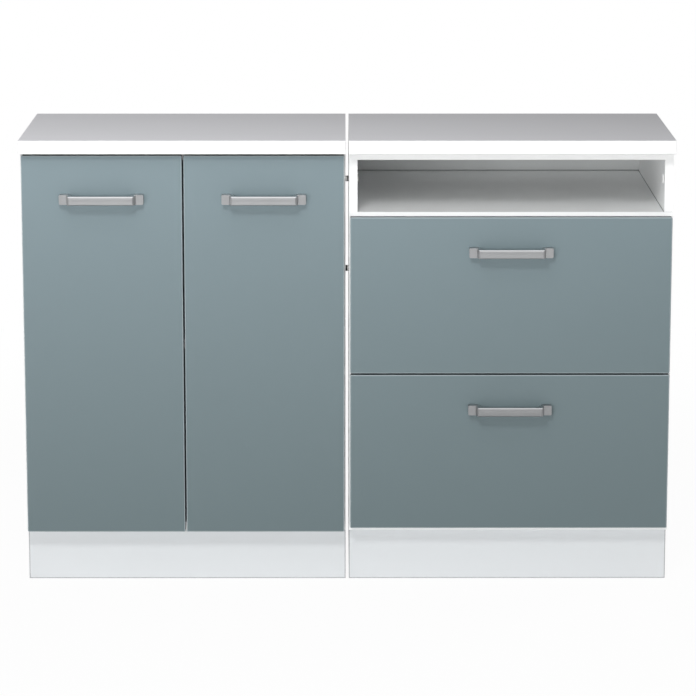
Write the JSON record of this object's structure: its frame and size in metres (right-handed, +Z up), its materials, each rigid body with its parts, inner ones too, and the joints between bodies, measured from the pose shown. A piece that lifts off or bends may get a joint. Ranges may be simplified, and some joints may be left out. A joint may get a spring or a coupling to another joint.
{
  "type": "kitchen base cabinet pair",
  "caption": "Kitchen base cabinets side by side for a sloped ceiling: doors with a shelf on the left, open niche over deep drawers on the right, rear top cut to the slope.",
  "frame": {"origin": "on the floor, in the middle of the pair's width and of its depth with the handles", "axes": "+X to the right seen from the front, +Y to the back, +Z up"},
  "size_m": [1.206, 0.616, 0.845],
  "materials": {
    "front_finish": "board with a matt blue-grey foil and matching edges",
    "carcass_laminate": "chipboard with white laminate",
    "back_board": "fibreboard, white lacquer",
    "worktop_laminate": "chipboard, light grey laminate on top, white edges",
    "plinth_laminate": "chipboard with white laminate",
    "drawer_board": "chipboard with white laminate",
    "handle_metal": "satin nickel look",
    "hinge_steel": "nickel-plated steel",
    "fastener_steel": "zinc-plated steel",
    "runner_enamel": "light enamel on sheet steel",
    "roller_nylon": "smooth nylon",
    "cap_plastic": "white moulded plastic",
    "bumper_rubber": "soft clear-grey pad",
    "spacer_rubber": "white ring with a black rubber face"
  },
  "bodies": {
    "root": {"left_unit_outer_side": "carcass_laminate", "left_unit_inner_side": "carcass_laminate", "left_unit_bottom": "carcass_laminate", "left_unit_top_rails": "carcass_laminate", "left_unit_back": "back_board", "left_unit_sloped_back": "back_board", "left_unit_worktop": "worktop_laminate", "right_unit_inner_side": "carcass_laminate", "right_unit_outer_side": "carcass_laminate", "right_unit_bottom": "carcass_laminate", "right_unit_top_panel": "carcass_laminate", "niche_floor": "carcass_laminate", "right_unit_back": "back_board", "right_unit_sloped_back": "back_board", "right_unit_worktop": "worktop_laminate", "wall_rails": "carcass_laminate", "plinth_long_boards": "plinth_laminate", "plinth_side_boards": "plinth_laminate", "shelf": "carcass_laminate", "shelf_pins": "cap_plastic", "hinge_arms": "hinge_steel", "hinge_plates": "hinge_steel", "runner_rails": "runner_enamel", "euro_screws": "fastener_steel", "panel_screws": "fastener_steel", "worktop_screws": "fastener_steel", "connector_bolts": "fastener_steel", "connector_sleeves": "fastener_steel", "connector_spacers": "spacer_rubber", "hole_caps": "cap_plastic"},
    "left_door": {"left_door_panel": "front_finish", "left_door_handle": "handle_metal", "left_door_hinge_cups": "hinge_steel", "left_door_hinge_pins": "hinge_steel", "left_door_screws": "fastener_steel", "left_door_bumpers": "bumper_rubber"},
    "right_door": {"right_door_panel": "front_finish", "right_door_handle": "handle_metal", "right_door_hinge_cups": "hinge_steel", "right_door_hinge_pins": "hinge_steel", "right_door_screws": "fastener_steel", "right_door_bumpers": "bumper_rubber"},
    "upper_drawer": {"upper_drawer_front": "front_finish", "upper_drawer_sides": "runner_enamel", "upper_drawer_bottom": "drawer_board", "upper_drawer_back": "drawer_board", "upper_drawer_gallery_rails": "runner_enamel", "upper_drawer_handle": "handle_metal", "upper_drawer_screws": "fastener_steel"},
    "upper_drawer_front_rollers": {"upper_drawer_front_rollers": "roller_nylon"},
    "upper_drawer_rear_rollers": {"upper_drawer_rear_rollers": "roller_nylon"},
    "lower_drawer": {"lower_drawer_front": "front_finish", "lower_drawer_sides": "runner_enamel", "lower_drawer_bottom": "drawer_board", "lower_drawer_back": "drawer_board", "lower_drawer_gallery_rails": "runner_enamel", "lower_drawer_handle": "handle_metal", "lower_drawer_screws": "fastener_steel"},
    "lower_drawer_front_rollers": {"lower_drawer_front_rollers": "roller_nylon"},
    "lower_drawer_rear_rollers": {"lower_drawer_rear_rollers": "roller_nylon"}
  },
  "joints": [
    {"name": "left_door_hinge", "type": "hinge", "parent": "root", "child": "left_door", "pos_m": [-0.5933, -0.2638, 0.458], "axis": [0, 0, -1], "range_deg": [0, 95]},
    {"name": "right_door_hinge", "type": "hinge", "parent": "root", "child": "right_door", "pos_m": [-0.0127, -0.2638, 0.458], "axis": [0, 0, 1], "range_deg": [0, 90]},
    {"name": "upper_drawer_slide", "type": "slide", "parent": "root", "child": "upper_drawer", "axis": [0, -1, 0], "range_m": [0, 0.38]},
    {"name": "lower_drawer_slide", "type": "slide", "parent": "root", "child": "lower_drawer", "axis": [0, -1, 0], "range_m": [0, 0.38]},
    {"name": "upper_drawer_front_roll", "type": "hinge", "parent": "root", "child": "upper_drawer_front_rollers", "pos_m": [0.303, -0.236, 0.449], "axis": [1, 0, 0], "range_deg": [0, 2660]},
    {"name": "upper_drawer_rear_roll", "type": "hinge", "parent": "upper_drawer", "child": "upper_drawer_rear_rollers", "pos_m": [0.303, 0.231, 0.4487], "axis": [1, 0, 0], "range_deg": [0, 2660]},
    {"name": "lower_drawer_front_roll", "type": "hinge", "parent": "root", "child": "lower_drawer_front_rollers", "pos_m": [0.303, -0.236, 0.152], "axis": [1, 0, 0], "range_deg": [0, 2660]},
    {"name": "lower_drawer_rear_roll", "type": "hinge", "parent": "lower_drawer", "child": "lower_drawer_rear_rollers", "pos_m": [0.303, 0.231, 0.1517], "axis": [1, 0, 0], "range_deg": [0, 2660]}
  ],
  "couplings": [
    {"joint": "upper_drawer_front_roll", "follows": "upper_drawer_slide", "rad_per_m": 121.95},
    {"joint": "upper_drawer_rear_roll", "follows": "upper_drawer_slide", "rad_per_m": 121.95},
    {"joint": "lower_drawer_front_roll", "follows": "lower_drawer_slide", "rad_per_m": 121.95},
    {"joint": "lower_drawer_rear_roll", "follows": "lower_drawer_slide", "rad_per_m": 121.95}
  ]
}
